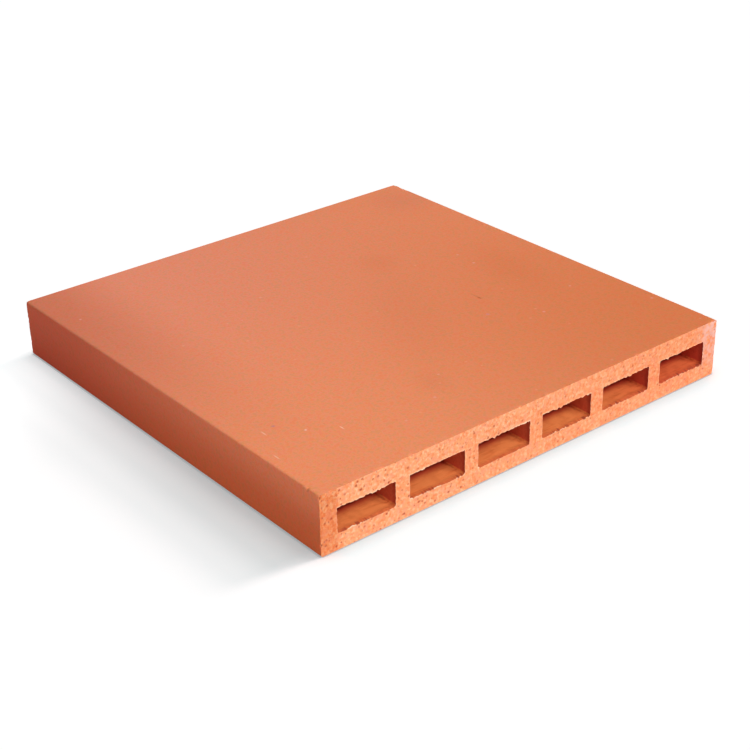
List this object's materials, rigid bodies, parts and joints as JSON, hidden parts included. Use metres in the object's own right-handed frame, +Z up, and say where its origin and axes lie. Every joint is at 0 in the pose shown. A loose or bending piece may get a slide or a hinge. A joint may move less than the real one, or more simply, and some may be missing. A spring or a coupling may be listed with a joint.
{
  "type": "perforated clay tile",
  "caption": "Square slab of fired clay with a row of rectangular cells running through it from cut end to cut end, laid flat on roofs and floors.",
  "frame": {"origin": "middle of the bed face, on the floor", "axes": "+Z up through the thickness, +X across the row of cells, +Y along the cells from the front cut end to the back one"},
  "size_m": [0.305, 0.305, 0.037],
  "materials": {
    "fired_clay": "unglazed orange-red fired clay, smooth where the die pressed it and rough where the wire cut it"
  },
  "bodies": {
    "root": {"clay_tile": "fired_clay"}
  },
  "joints": []
}
